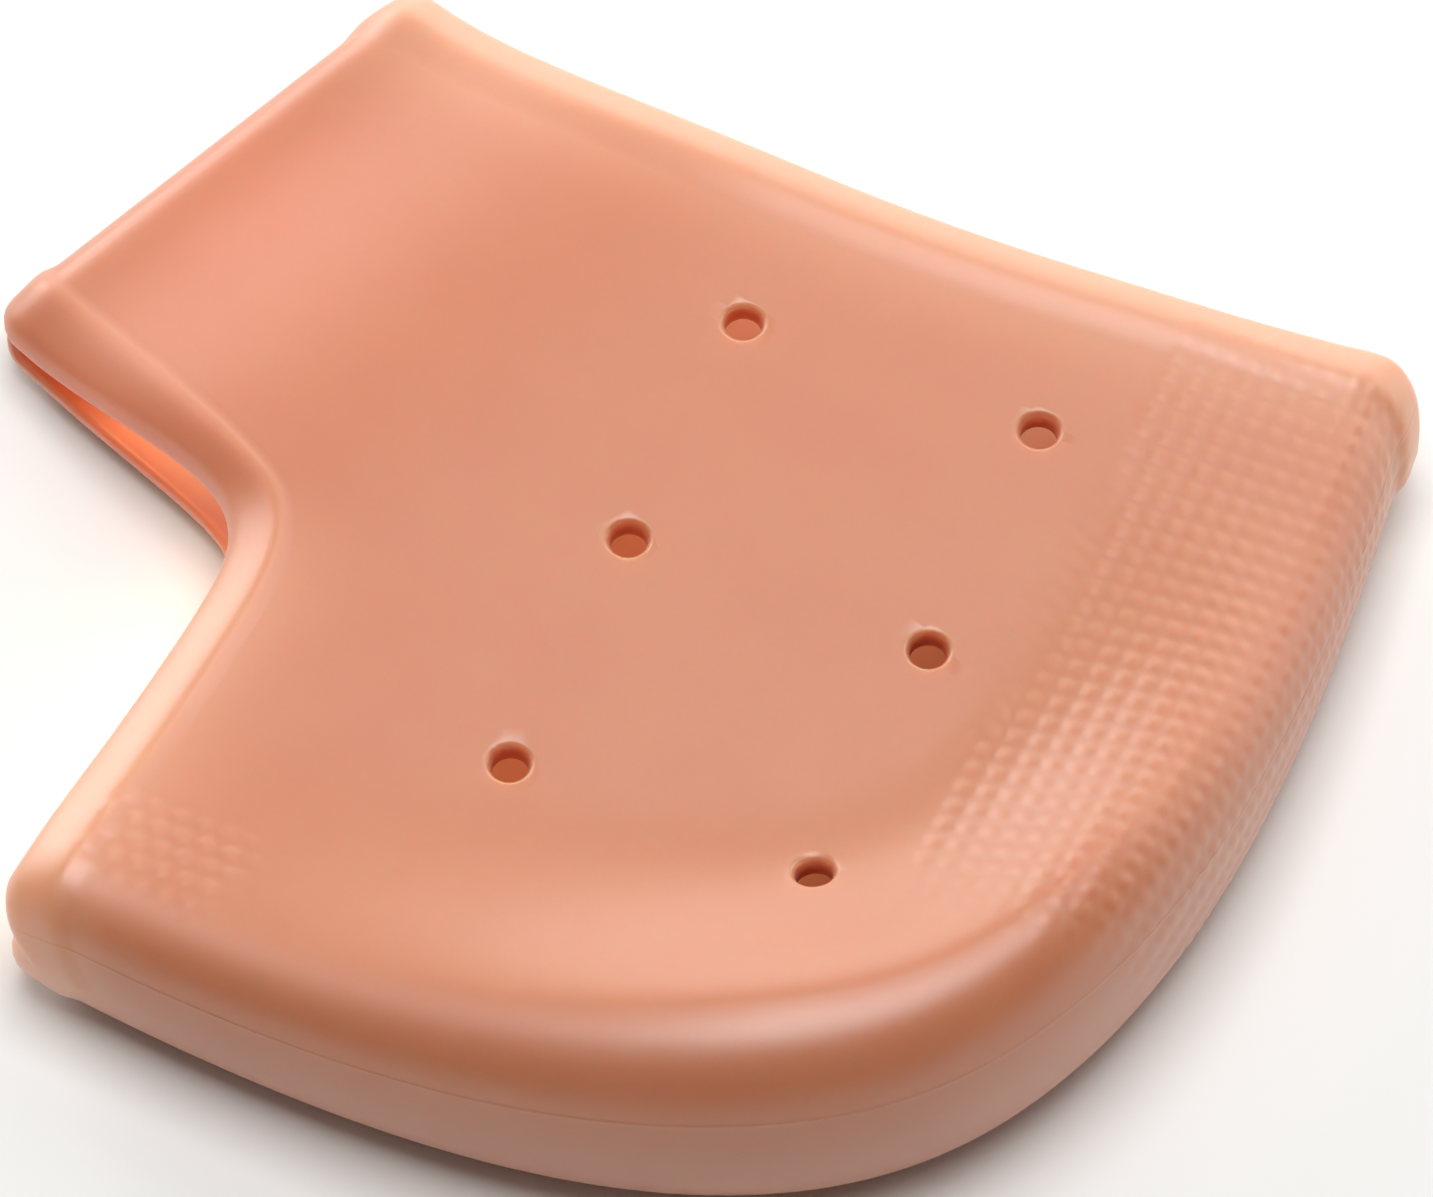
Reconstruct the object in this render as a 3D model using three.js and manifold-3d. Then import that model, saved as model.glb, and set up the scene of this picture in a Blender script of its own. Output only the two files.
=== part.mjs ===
// Silicone heel sleeve: a bent, flattened tube with an open foot end and an open leg end.
// It lies on its side. Millimetres, +X toward the toes, +Y up the leg, +Z up from the table.
import * as THREE from 'three';
import { mergeVertices } from 'three/addons/utils/BufferGeometryUtils.js';
import Module from 'manifold-3d';

const wasm = await Module();
wasm.setup();

const { clamp, degToRad, lerp, smoothstep } = THREE.MathUtils;

// Plan of the flattened sleeve: four corners, angles in degrees from +X.
const FOOT_MOUTH = 99; // from the sole corner to the instep corner
const FOOT_MOUTH_ANGLE = 87;
const STRAP_LENGTH = 48; // the fold over the instep, from foot mouth to leg mouth
const STRAP_ANGLE = 158.5;
const LEG_MOUTH = 64.5; // from the instep corner to the Achilles corner
const LEG_MOUTH_ANGLE = 207.5;

// Fullness of the curved edges: how far each end of an edge runs on in its own direction.
const ACHILLES_RUN = 77.5;
const ACHILLES_ANGLE = -97;
const SOLE_RUN = 86.5;
const SOLE_ANGLE = -172;
const NOTCH_FRONT_RUN = 44.5;
const NOTCH_FRONT_ANGLE = -113.5;
const NOTCH_BACK_RUN = 54;
const NOTCH_BACK_ANGLE = -2.5;
const MOUTH_TOP_RUN = 45.5;
const MOUTH_TOP_ANGLE = -111;
const MOUTH_SOLE_RUN = 3;
const MOUTH_SOLE_ANGLE = 96;
const CORNER_ROUND = 3.5; // radius that each mouth's lip turns through at a fold

// Heights from side to side as the sleeve lies.
const ACHILLES_HEIGHT = 16.5;
const HEEL_HEIGHT = 23.5;
const SOLE_HEIGHT = 15;
const STRAP_HEIGHT = 10;
const LEG_MOUTH_HEIGHT = 15;
const DISH_HEIGHT = 16;
const FOOT_MOUTH_HEIGHT = 16;
const HEEL_FLANK = 22; // from the crest of the heel roll to the dished side
const STRAP_FLANK = 40; // from the crest of the strap fold to the dished side
const FLANK_EASE = 0.78; // 1 is steepest halfway along a flank, less is steepest near its crest

// Depth of each fold as a share of its height, and how square its bend is (2 is an ellipse).
const HEEL_FOLD_DEPTH = 0.4;
const HEEL_FOLD_SQUARENESS = 2.2;
const STRAP_FOLD_DEPTH = 0.47;
const STRAP_FOLD_SQUARENESS = 2;

// Walls.
const SIDE_WALL = 2;
const HEEL_WALL = 4; // under the heel and sole and behind the Achilles tendon
const STRAP_WALL = 2.2;

// Lips along the two mouths: each is raised to a ridge and turns in toward its edge.
const LEG_LIP_WIDTH = 4.2;
const LEG_LIP_RAISE = 0.45;
const LEG_LIP_FOLD_RAISE = 0.4; // at the middle of the Achilles fold
const LEG_LIP_TURN = 1.8;
const FOOT_LIP_WIDTH = 2.9;
const FOOT_LIP_RAISE = 0.5;
const FOOT_LIP_FOLD_RAISE = 1.1; // at the middle of the sole fold
const FOOT_LIP_TURN = 0.8;

// Vent holes, tapered from the outer face, the same on both sides.
const HOLE_RADIUS = 1.6;
const HOLE_SINK_RADIUS = 2.3;
const HOLE_SINK_DEPTH = 0.9;
const HOLE_ROWS = 3;
const HOLE_COLUMNS = 2;
const HOLE_PITCH_ALONG = 23.8;
const HOLE_PITCH_ACROSS = 27.3;
const HOLE_FROM_FOOT_MOUTH = 20;
const HOLE_FROM_SOLE_CORNER = 27;

// Mesh steps.
const HEEL_STEPS = 14;
const TOP_STEPS = 20;
const STRAP_STEPS = 8;
const BOTTOM_STEPS = 14;
const LENGTH_STEPS = 27;
const LIP_STEPS = 4;
const RIM_STEPS = 4;
const SECTION_STEPS = 36;
const HOLE_SIDES = 16;

const away = (from, length, angle) => new THREE.Vector2(
  from.x + length * Math.cos(degToRad(angle)),
  from.y + length * Math.sin(degToRad(angle)),
);

const sole = new THREE.Vector2(0, 0);
const footInstep = away(sole, FOOT_MOUTH, FOOT_MOUTH_ANGLE);
const legInstep = away(footInstep, STRAP_LENGTH, STRAP_ANGLE);
const achilles = away(legInstep, LEG_MOUTH, LEG_MOUTH_ANGLE);

// The four edges. Mouths run from the instep to the heel side, folds from the leg to the foot.
const legMouth = new THREE.CubicBezierCurve(
  legInstep,
  away(legInstep, NOTCH_FRONT_RUN, NOTCH_FRONT_ANGLE),
  away(achilles, NOTCH_BACK_RUN, NOTCH_BACK_ANGLE),
  achilles,
);
const footMouth = new THREE.CubicBezierCurve(
  footInstep,
  away(footInstep, MOUTH_TOP_RUN, MOUTH_TOP_ANGLE),
  away(sole, MOUTH_SOLE_RUN, MOUTH_SOLE_ANGLE),
  sole,
);
const strapFold = new THREE.LineCurve(legInstep, footInstep);
const heelFold = new THREE.CubicBezierCurve(
  achilles,
  away(achilles, ACHILLES_RUN, ACHILLES_ANGLE),
  away(sole, SOLE_RUN, SOLE_ANGLE),
  sole,
);

// A point of the plan, blended from the four edges. s goes from the strap fold to the heel
// fold, v from the leg mouth to the foot mouth.
function plan(s, v) {
  const across = legMouth.getPoint(s).lerp(footMouth.getPoint(s), v);
  const along = strapFold.getPoint(v).lerp(heelFold.getPoint(v), s);
  const legCorners = legInstep.clone().lerp(achilles, s);
  const footCorners = footInstep.clone().lerp(sole, s);
  return across.add(along).sub(legCorners.lerp(footCorners, v));
}

// One section of the plan at v, measured by its length from the strap fold.
function section(v) {
  const points = [plan(0, v)];
  const lengths = [0];
  for (let i = 1; i <= SECTION_STEPS; i += 1) {
    points.push(plan(i / SECTION_STEPS, v));
    lengths.push(lengths[i - 1] + points[i].distanceTo(points[i - 1]));
  }
  const at = (distance) => {
    let i = 1;
    while (i < SECTION_STEPS && lengths[i] < distance) {
      i += 1;
    }
    const share = (distance - lengths[i - 1]) / (lengths[i] - lengths[i - 1]);
    return points[i - 1].clone().lerp(points[i], share);
  };
  const lengthTo = (s) => {
    const i = Math.min(Math.floor(s * SECTION_STEPS), SECTION_STEPS - 1);
    return lerp(lengths[i], lengths[i + 1], s * SECTION_STEPS - i);
  };
  return { at, lengthTo, width: lengths[SECTION_STEPS] };
}

// Height of the heel fold along its length: low at both mouths, full round the heel.
function heelHeight(v) {
  const rise = 0.42;
  const full = lerp(ACHILLES_HEIGHT, HEEL_HEIGHT, smoothstep(v, 0, rise));
  return lerp(full, SOLE_HEIGHT, smoothstep(v, 1 - rise, 1));
}

// Height of the dished upper side away from the folds.
function dishHeight(v) {
  const mouths = LEG_MOUTH_HEIGHT * (1 - v) ** 2 + FOOT_MOUTH_HEIGHT * v ** 2;
  return mouths + DISH_HEIGHT * 2 * v * (1 - v);
}

// Height of the upper side, from its distances to the crests of the two folds.
function topHeight(v, fromHeel, fromStrap) {
  const share = smoothstep(fromHeel / (fromHeel + fromStrap), 0, 1);
  const straight = lerp(heelHeight(v), STRAP_HEIGHT, share);
  const flank = (from, width) => smoothstep(clamp(from / width, 0, 1) ** FLANK_EASE, 0, 1);
  const dished = flank(fromHeel, HEEL_FLANK) * flank(fromStrap, STRAP_FLANK);
  return lerp(straight, dishHeight(v), dished);
}

// A fold seen along its length, from -90 degrees at the bottom to 90 at the top.
function bend(angle, squareness) {
  const power = 2 / squareness;
  const out = Math.abs(Math.cos(angle)) ** power;
  const up = Math.sign(Math.sin(angle)) * Math.abs(Math.sin(angle)) ** power;
  return { out, up };
}

// The columns round the tube: heel fold, upper side, strap fold, lower side.
const columns = [];
for (let i = 0; i < HEEL_STEPS; i += 1) {
  columns.push({ kind: 'heel', angle: Math.PI * (i / HEEL_STEPS - 0.5) });
}
for (let i = 0; i < TOP_STEPS; i += 1) {
  columns.push({ kind: 'top', share: i / TOP_STEPS });
}
for (let i = 0; i < STRAP_STEPS; i += 1) {
  columns.push({ kind: 'strap', angle: Math.PI * (0.5 - i / STRAP_STEPS) });
}
for (let i = 0; i < BOTTOM_STEPS; i += 1) {
  columns.push({ kind: 'bottom', share: 1 - i / BOTTOM_STEPS });
}

const PLAIN = { raise: 0, foldRaise: 0, turn: 0 };

// Where a column lies at v: its distance from the strap fold and its height.
// wall is 0 on the outer face and 1 on the inner one, lip is how far a mouth's lip shapes it.
function profile(column, v, width, wall, lip) {
  const heel = heelHeight(v);
  const heelDepth = heel * HEEL_FOLD_DEPTH;
  const strapDepth = STRAP_HEIGHT * STRAP_FOLD_DEPTH;
  const inset = wall * SIDE_WALL + lip.turn;
  const outer = 1 - wall;
  if (column.kind === 'heel' || column.kind === 'strap') {
    const isHeel = column.kind === 'heel';
    const height = isHeel ? heel : STRAP_HEIGHT;
    const foldDepth = isHeel ? heelDepth : strapDepth;
    const foldWall = isHeel ? HEEL_WALL : STRAP_WALL;
    const squareness = isHeel ? HEEL_FOLD_SQUARENESS : STRAP_FOLD_SQUARENESS;
    const { out, up } = bend(column.angle, squareness);
    const foldRaise = isHeel ? lip.foldRaise : lip.raise;
    const raise = outer * lerp(foldRaise, lip.raise, Math.abs(up));
    const fromCrest = (foldDepth - wall * foldWall + raise) * out;
    const z = height / 2 + (height / 2 - inset) * up + raise * Math.max(up, 0);
    return { distance: isHeel ? width - foldDepth + fromCrest : foldDepth - fromCrest, z };
  }
  const span = width - heelDepth - strapDepth;
  const fromHeel = span * column.share;
  const distance = width - heelDepth - fromHeel;
  if (column.kind === 'bottom') {
    return { distance, z: inset };
  }
  return { distance, z: topHeight(v, fromHeel, span - fromHeel) - inset + outer * lip.raise };
}

function skin(column, v, wall, lip) {
  const across = section(v);
  const { distance, z } = profile(column, v, across.width, wall, lip);
  const flat = across.at(distance);
  return new THREE.Vector3(flat.x, flat.y, z);
}

// Millimetres travelled per unit of v in a column, at one end of the tube.
function pace(column, end) {
  const small = 0.01;
  const inside = end === 0 ? small : 1 - small;
  const a = skin(column, end, 0, PLAIN);
  const b = skin(column, inside, 0, PLAIN);
  return Math.hypot(a.x - b.x, a.y - b.y) / small;
}

// How far the lip draws back where it turns round a fold.
function cornerSetback(column, end) {
  const { width } = section(end);
  const { distance } = profile(column, end, width, 0, PLAIN);
  const fromFold = Math.min(distance, width - distance);
  const left = clamp(CORNER_ROUND - fromFold, 0, CORNER_ROUND);
  return CORNER_ROUND - Math.sqrt(CORNER_ROUND ** 2 - left ** 2);
}

// A lip's shape at a distance from its edge, given in lip widths. It ends past its ridge.
const LIP_END = 1.2;

function lipAt(share, raise, foldRaise, turn) {
  const raised = 1 - smoothstep(share, 0.75, LIP_END);
  const turned = Math.max(1 - share, 0) ** 1.5;
  return { raise: raise * raised, foldRaise: foldRaise * raised, turn: turn * turned };
}

// Rows of one column: close together over the lips, even between them.
function rowsOf(column) {
  const legPace = pace(column, 0);
  const footPace = pace(column, 1);
  const legEdge = cornerSetback(column, 0) / legPace;
  const footEdge = 1 - cornerSetback(column, 1) / footPace;
  const lipRows = (edge, step, raise, foldRaise, turn) => {
    const rows = [];
    for (let i = 0; i < LIP_STEPS; i += 1) {
      const share = LIP_END * i / LIP_STEPS;
      rows.push({ v: edge + step * share, lip: lipAt(share, raise, foldRaise, turn) });
    }
    return rows;
  };
  const legStep = LEG_LIP_WIDTH / legPace;
  const footStep = -FOOT_LIP_WIDTH / footPace;
  const leg = lipRows(legEdge, legStep, LEG_LIP_RAISE, LEG_LIP_FOLD_RAISE, LEG_LIP_TURN);
  const foot = lipRows(footEdge, footStep, FOOT_LIP_RAISE, FOOT_LIP_FOLD_RAISE, FOOT_LIP_TURN);
  const legInner = legEdge + legStep * LIP_END;
  const footInner = footEdge + footStep * LIP_END;
  const between = [];
  for (let i = 0; i <= LENGTH_STEPS; i += 1) {
    between.push({ v: lerp(legInner, footInner, i / LENGTH_STEPS), lip: PLAIN });
  }
  return [...leg, ...between, ...foot.reverse()];
}

// Points of a rounded rim from one face to the other, bulging away from the wall.
function rim(from, to, before) {
  const middle = from.clone().add(to).multiplyScalar(0.5);
  const half = from.clone().sub(to).multiplyScalar(0.5);
  const out = from.clone().sub(before).normalize().multiplyScalar(half.length());
  const points = [];
  for (let i = 1; i < RIM_STEPS; i += 1) {
    const angle = Math.PI * i / RIM_STEPS;
    const point = middle.clone().addScaledVector(half, Math.cos(angle));
    point.addScaledVector(out, Math.sin(angle));
    point.z = Math.max(point.z, 0);
    points.push(point);
  }
  return points;
}

// One closed loop of points per column: out along the outer face, back along the inner one.
function loopOf(column) {
  const rows = rowsOf(column);
  const outer = rows.map(({ v, lip }) => skin(column, v, 0, lip));
  const inner = rows.map(({ v, lip }) => skin(column, v, 1, lip)).reverse();
  const last = outer.length - 1;
  const footRim = rim(outer[last], inner[0], outer[last - 1]);
  const legRim = rim(inner[last], outer[0], inner[last - 1]);
  return [...outer, ...footRim, ...inner, ...legRim];
}

function wrappedMesh(loops) {
  const positions = loops.flat().flatMap((point) => [point.x, point.y, point.z]);
  const length = loops[0].length;
  const indices = [];
  for (let c = 0; c < loops.length; c += 1) {
    const here = c * length;
    const next = ((c + 1) % loops.length) * length;
    for (let r = 0; r < length; r += 1) {
      const ahead = (r + 1) % length;
      indices.push(here + r, next + ahead, next + r);
      indices.push(here + r, here + ahead, next + ahead);
    }
  }
  const geometry = new THREE.BufferGeometry();
  geometry.setAttribute('position', new THREE.Float32BufferAttribute(positions, 3));
  geometry.setIndex(indices);
  return geometry;
}

// three.js geometry to a solid and back.
function solidOf(geometry) {
  const bare = new THREE.BufferGeometry();
  bare.setAttribute('position', geometry.getAttribute('position'));
  bare.setIndex(geometry.getIndex());
  const merged = mergeVertices(bare);
  return new wasm.Manifold(new wasm.Mesh({
    numProp: 3,
    vertProperties: new Float32Array(merged.getAttribute('position').array),
    triVerts: new Uint32Array(merged.getIndex().array),
  }));
}

function geometryOf(solid) {
  const mesh = solid.getMesh();
  const geometry = new THREE.BufferGeometry();
  geometry.setAttribute('position', new THREE.BufferAttribute(mesh.vertProperties, 3));
  geometry.setIndex(new THREE.BufferAttribute(mesh.triVerts, 1));
  return geometry;
}

// A cutter for one tapered hole, with its wide end up and the outer face at its origin.
function holeCutter() {
  const clear = 1;
  const slope = (HOLE_SINK_RADIUS - HOLE_RADIUS) / HOLE_SINK_DEPTH;
  const outline = [
    new THREE.Vector2(0, -SIDE_WALL - clear),
    new THREE.Vector2(HOLE_RADIUS, -SIDE_WALL - clear),
    new THREE.Vector2(HOLE_RADIUS, -HOLE_SINK_DEPTH),
    new THREE.Vector2(HOLE_SINK_RADIUS + slope * clear, clear),
    new THREE.Vector2(0, clear),
  ];
  const cutter = new THREE.LatheGeometry(outline, HOLE_SIDES);
  cutter.rotateX(Math.PI / 2);
  return cutter;
}

// The s and v of a point of the plan, found by closing in on it.
function locate(target) {
  let best = { s: 0.5, v: 0.5, gap: Infinity };
  for (let span = 0.25; span > 1e-5; span *= 0.6) {
    const { s, v } = best;
    for (let i = -2; i <= 2; i += 1) {
      for (let j = -2; j <= 2; j += 1) {
        const trial = { s: s + i * span, v: v + j * span };
        trial.gap = plan(trial.s, trial.v).distanceTo(target);
        if (trial.gap < best.gap) {
          best = trial;
        }
      }
    }
  }
  return best;
}

// Height of the upper face over a point of the plan.
function topAt(x, y) {
  const { s, v } = locate(new THREE.Vector2(x, y));
  const { width, lengthTo } = section(v);
  const fromStrap = lengthTo(s) - STRAP_HEIGHT * STRAP_FOLD_DEPTH;
  const fromHeel = width - lengthTo(s) - heelHeight(v) * HEEL_FOLD_DEPTH;
  return topHeight(v, fromHeel, fromStrap);
}

const shell = wrappedMesh(columns.map(loopOf));
let sleeve = solidOf(shell);

const step = 0.5;
for (let row = 0; row < HOLE_ROWS; row += 1) {
  for (let column = 0; column < HOLE_COLUMNS; column += 1) {
    const x = sole.x - HOLE_FROM_FOOT_MOUTH - row * HOLE_PITCH_ALONG;
    const y = sole.y + HOLE_FROM_SOLE_CORNER + column * HOLE_PITCH_ACROSS;
    const slopeX = (topAt(x + step, y) - topAt(x - step, y)) / (2 * step);
    const slopeY = (topAt(x, y + step) - topAt(x, y - step)) / (2 * step);
    const normal = new THREE.Vector3(-slopeX, -slopeY, 1).normalize();
    const lean = new THREE.Quaternion().setFromUnitVectors(new THREE.Vector3(0, 0, 1), normal);
    const upper = holeCutter().applyQuaternion(lean).translate(x, y, topAt(x, y));
    const lower = holeCutter().rotateX(Math.PI).translate(x, y, 0);
    sleeve = sleeve.subtract(solidOf(upper)).subtract(solidOf(lower));
  }
}

const geometry = geometryOf(sleeve);
geometry.computeBoundingBox();
const { min, max } = geometry.boundingBox;
geometry.translate(-(min.x + max.x) / 2, -(min.y + max.y) / 2, -min.z);

const silicone = new THREE.MeshStandardMaterial({ color: 0xe3a184, roughness: 0.5 });
silicone.name = 'silicone';

const heelSleeve = new THREE.Mesh(geometry, silicone);
heelSleeve.name = 'heel_sleeve';

const group = new THREE.Group();
group.name = 'silicone_heel_sleeve';
group.add(heelSleeve);

export default group;
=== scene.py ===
"""Silicone heel sleeve, lying on its side on a pale studio floor.

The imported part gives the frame. This script builds the moulding's fine surface over the same
plan and heights, with its grip bumps, flared vent holes and parting line, and then the rubber,
the floor, the light and the camera. Everything is in metres, in the part's own axes: +X toward
the toes, +Y up the leg, +Z up from the floor.
"""

import math

import bpy
import numpy as np
from bpy.props import FloatProperty, FloatVectorProperty, IntProperty, PointerProperty
from mathutils import Matrix, Vector
from mathutils.bvhtree import BVHTree


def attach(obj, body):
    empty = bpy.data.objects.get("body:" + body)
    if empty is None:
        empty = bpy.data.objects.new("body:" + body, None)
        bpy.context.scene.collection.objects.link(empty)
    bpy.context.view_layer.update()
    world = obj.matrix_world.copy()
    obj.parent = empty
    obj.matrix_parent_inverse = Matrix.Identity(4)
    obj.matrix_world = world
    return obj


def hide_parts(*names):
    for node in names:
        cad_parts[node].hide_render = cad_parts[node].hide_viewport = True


bl_info = {
    "name": "Silicone Heel Sleeve",
    "version": (1, 0, 0),
    "blender": (4, 5, 0),
    "location": "3D View > Sidebar > Heel Sleeve",
    "description": "Builds a moulded silicone heel sleeve on a studio floor",
    "category": "Add Mesh",
}

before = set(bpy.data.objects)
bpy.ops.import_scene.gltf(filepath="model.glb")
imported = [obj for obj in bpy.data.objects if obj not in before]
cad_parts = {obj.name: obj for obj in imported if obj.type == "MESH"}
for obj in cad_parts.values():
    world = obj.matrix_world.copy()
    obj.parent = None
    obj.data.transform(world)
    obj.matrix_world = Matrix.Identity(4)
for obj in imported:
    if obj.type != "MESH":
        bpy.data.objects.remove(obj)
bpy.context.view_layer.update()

MM = 0.001
PIECE = "heel_sleeve"
# Attribute of the painted glow: how far each point is mixed toward a paler colour that stands in
# for light shining through the thin rim of a mouth
PAINTED_GLOW_ATTRIBUTE = "painted_rim_glow"
IMAGE_WIDTH = 1433


def linear(hex_code):
    """The linear colour of an sRGB hex code such as "E3A184"."""
    values = [int(hex_code[i:i + 2], 16) / 255 for i in (0, 2, 4)]
    return [c / 12.92 if c <= 0.04045 else ((c + 0.055) / 1.055) ** 2.4 for c in values]


def length(name, description, millimetres):
    return FloatProperty(name=name, description=description, default=millimetres * MM,
                         precision=5, unit="LENGTH")


def angle(name, description, degrees):
    return FloatProperty(name=name, description=description, default=math.radians(degrees),
                         subtype="ANGLE", unit="ROTATION")


def factor(name, description, value):
    return FloatProperty(name=name, description=description, default=value, subtype="FACTOR",
                         min=0, max=1)


def number(name, description, value):
    return FloatProperty(name=name, description=description, default=value, min=0)


def colour(name, description, hex_code):
    return FloatVectorProperty(name=name, description=description, default=linear(hex_code),
                               subtype="COLOR", size=3, min=0, max=1)


class SleeveOutline(bpy.types.PropertyGroup):
    """The plan of the flattened sleeve: two mouths and two folds between four corners."""
    foot_mouth: length("Foot mouth", "Sole corner to instep corner", 99)
    foot_mouth_angle: angle("Foot mouth angle", "Its direction from +X", 87)
    strap: length("Strap", "The fold over the instep, from foot mouth to leg mouth", 48)
    strap_angle: angle("Strap angle", "Its direction from +X", 158.5)
    leg_mouth: length("Leg mouth", "Instep corner to Achilles corner", 64.5)
    leg_mouth_angle: angle("Leg mouth angle", "Its direction from +X", 207.5)
    achilles_run: length("Achilles run", "Fullness of the heel fold at the leg mouth", 77.5)
    achilles_angle: angle("Achilles angle", "Direction of the heel fold there", -97)
    sole_run: length("Sole run", "Fullness of the heel fold at the foot mouth", 86.5)
    sole_angle: angle("Sole angle", "Direction of the heel fold there", -172)
    notch_front_run: length("Notch front run", "Fullness of the leg mouth in front", 44.5)
    notch_front_angle: angle("Notch front angle", "Direction of the leg mouth there", -113.5)
    notch_back_run: length("Notch back run", "Fullness of the leg mouth behind", 54)
    notch_back_angle: angle("Notch back angle", "Direction of the leg mouth there", -2.5)
    mouth_top_run: length("Mouth top run", "Fullness of the foot mouth at the instep", 45.5)
    mouth_top_angle: angle("Mouth top angle", "Direction of the foot mouth there", -111)
    mouth_sole_run: length("Mouth sole run", "Fullness of the foot mouth at the sole", 3)
    mouth_sole_angle: angle("Mouth sole angle", "Direction of the foot mouth there", 96)
    corner_round: length("Corner round", "Radius of a lip where it turns round a fold", 3.5)


class SleeveHeights(bpy.types.PropertyGroup):
    """Heights from side to side as the sleeve lies."""
    achilles: length("Achilles", "Heel fold at the leg mouth", 16.5)
    heel: length("Heel", "Heel fold round the heel", 23.5)
    heel_rise: factor("Heel rise", "Share of the fold over which each end rises", 0.42)
    sole: length("Sole", "Heel fold at the foot mouth", 15)
    strap: length("Strap", "Strap fold", 10)
    leg_mouth: length("Leg mouth", "Side at the leg mouth", 15)
    dish: length("Dish", "Side between the mouths", 16)
    foot_mouth: length("Foot mouth", "Side at the foot mouth", 16)
    heel_flank: length("Heel flank", "Crest of the heel roll to the dished side", 22)
    strap_flank: length("Strap flank", "Crest of the strap fold to the dished side", 40)
    flank_ease: number("Flank ease", "1 is steepest halfway, less nearer the crest", 0.78)
    heel_fold_depth: factor("Heel fold depth", "Share of its height", 0.4)
    heel_fold_squareness: number("Heel fold squareness", "2 is an ellipse", 2.2)
    strap_fold_depth: factor("Strap fold depth", "Share of its height", 0.47)
    strap_fold_squareness: number("Strap fold squareness", "2 is an ellipse", 2)


class SleeveWalls(bpy.types.PropertyGroup):
    """Walls, and the lips along the two mouths."""
    side: length("Side wall", "Wall of the two sides", 2)
    heel: length("Heel wall", "Cushion under the heel and sole", 4)
    strap: length("Strap wall", "Wall in the strap fold", 2.2)
    leg_lip_width: length("Leg lip width", "Ridge to edge", 4.2)
    leg_lip_raise: length("Leg lip raise", "Height of the ridge", 0.45)
    leg_lip_fold_raise: length("Leg lip fold raise", "The same on the Achilles fold", 0.4)
    leg_lip_turn: length("Leg lip turn", "How far the edge turns in", 1.8)
    foot_lip_width: length("Foot lip width", "Ridge to edge", 2.9)
    foot_lip_raise: length("Foot lip raise", "Height of the ridge", 0.5)
    foot_lip_fold_raise: length("Foot lip fold raise", "The same on the sole fold", 1.1)
    foot_lip_turn: length("Foot lip turn", "How far the edge turns in", 0.8)


class VentHoles(bpy.types.PropertyGroup):
    """Tapered vent holes, the same through both sides."""
    radius: length("Radius", "Through the wall", 1.6)
    sink_radius: length("Sink radius", "Where the flare meets the face", 2.4)
    sink_depth: length("Sink depth", "Depth of the flare", 0.9)
    rows: IntProperty(name="Rows", description="Rows along the foot", default=3, min=1)
    columns: IntProperty(name="Columns", description="Holes in a row", default=2, min=1)
    pitch_along: length("Pitch along", "Between rows", 23.8)
    pitch_across: length("Pitch across", "Between holes of a row", 27.3)
    from_foot_mouth: length("From foot mouth", "Sole corner to the first row", 20)
    from_sole_corner: length("From sole corner", "Sole corner to the first column", 27)


class GripBumps(bpy.types.PropertyGroup):
    """Low moulded bumps: square rows under the sole, staggered ones behind the tendon."""
    pitch: length("Pitch", "Between neighbouring bumps", 2.05)
    height: length("Height", "Of a bump over the skin", 0.14)
    sole_rows: IntProperty(name="Sole rows", description="Rows along the sole", default=34)
    sole_start: length("Sole start", "Foot mouth to the first row", 3)
    sole_width: length("Sole width", "Sole corner to the inner edge of the bumps", 20)
    tendon_pitch: length("Tendon pitch", "Between bumps behind the tendon", 2.2)
    tendon_start: length("Tendon start", "Leg mouth to the first bump", 4.5)
    tendon_length: length("Tendon length", "Of the patch, down the tendon", 19)
    tendon_width: length("Tendon width", "Crest of the fold to the patch's inner edge", 10)
    parting_height: length("Parting line height", "Of the moulding's parting line", 0.05)
    parting_angle: angle("Parting line angle", "Up from the middle of the heel fold", 27)


class RubberFinish(bpy.types.PropertyGroup):
    """The look of the moulded rubber."""
    body: colour("Body colour", "Colour of the rubber", "CB865E")
    blush: colour("Blush colour", "Slightly redder patches", "C77C56")
    # Painted glow: this paler colour, mixed in at the thin edge of each mouth, stands in for
    # light shining through the rubber and the sheen at its edge
    glow_painted_rims: colour("Rim colour", "Colour of the thin rims", "DFA681")
    roughness: factor("Roughness", "Satin of the sandblasted mould", 0.42)
    translucency: factor("Translucency", "How much light goes into the rubber", 1)
    grain: length("Grain", "Size of the mould's sandblasted grain", 0.16)


class Studio(bpy.types.PropertyGroup):
    """Floor, light and camera."""
    floor: colour("Floor colour", "A pale sheet of paper", "F4F4F2")
    light: number("Light", "Share of the soft boxes' full power", 0.92)
    glow: number("Glow", "Light inside the sleeve, in watts to a square metre", 1.7)
    sky: number("Sky", "Strength of the light from the pale surroundings", 0.04)
    backdrop: number("Backdrop", "Brightness of the pale surroundings in the picture", 0.9)
    elevation: angle("Camera elevation", "Above the floor", 57.63)
    azimuth: angle("Camera azimuth", "0 looks along +Y, 90 along -X", -66.07)
    distance: length("Camera distance", "From the aim point", 700)
    aim_x: length("Aim X", "The point in the middle of the picture", 9.65)
    aim_y: length("Aim Y", "The point in the middle of the picture", -7.23)
    scale: number("Scale", "Pixels to a millimetre at the aim point", 11.685)


def smoothstep(x, low, high):
    t = np.clip((x - low) / (high - low), 0, 1)
    return t * t * (3 - 2 * t)


def lerp(a, b, t):
    return a + (b - a) * t


def away(start, distance, direction):
    return start + distance * np.array([math.cos(direction), math.sin(direction)])


def bezier(points, t):
    t = np.asarray(t, float)[..., None]
    u = 1 - t
    return (u ** 3 * points[0] + 3 * u * u * t * points[1]
            + 3 * u * t * t * points[2] + t ** 3 * points[3])


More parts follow.
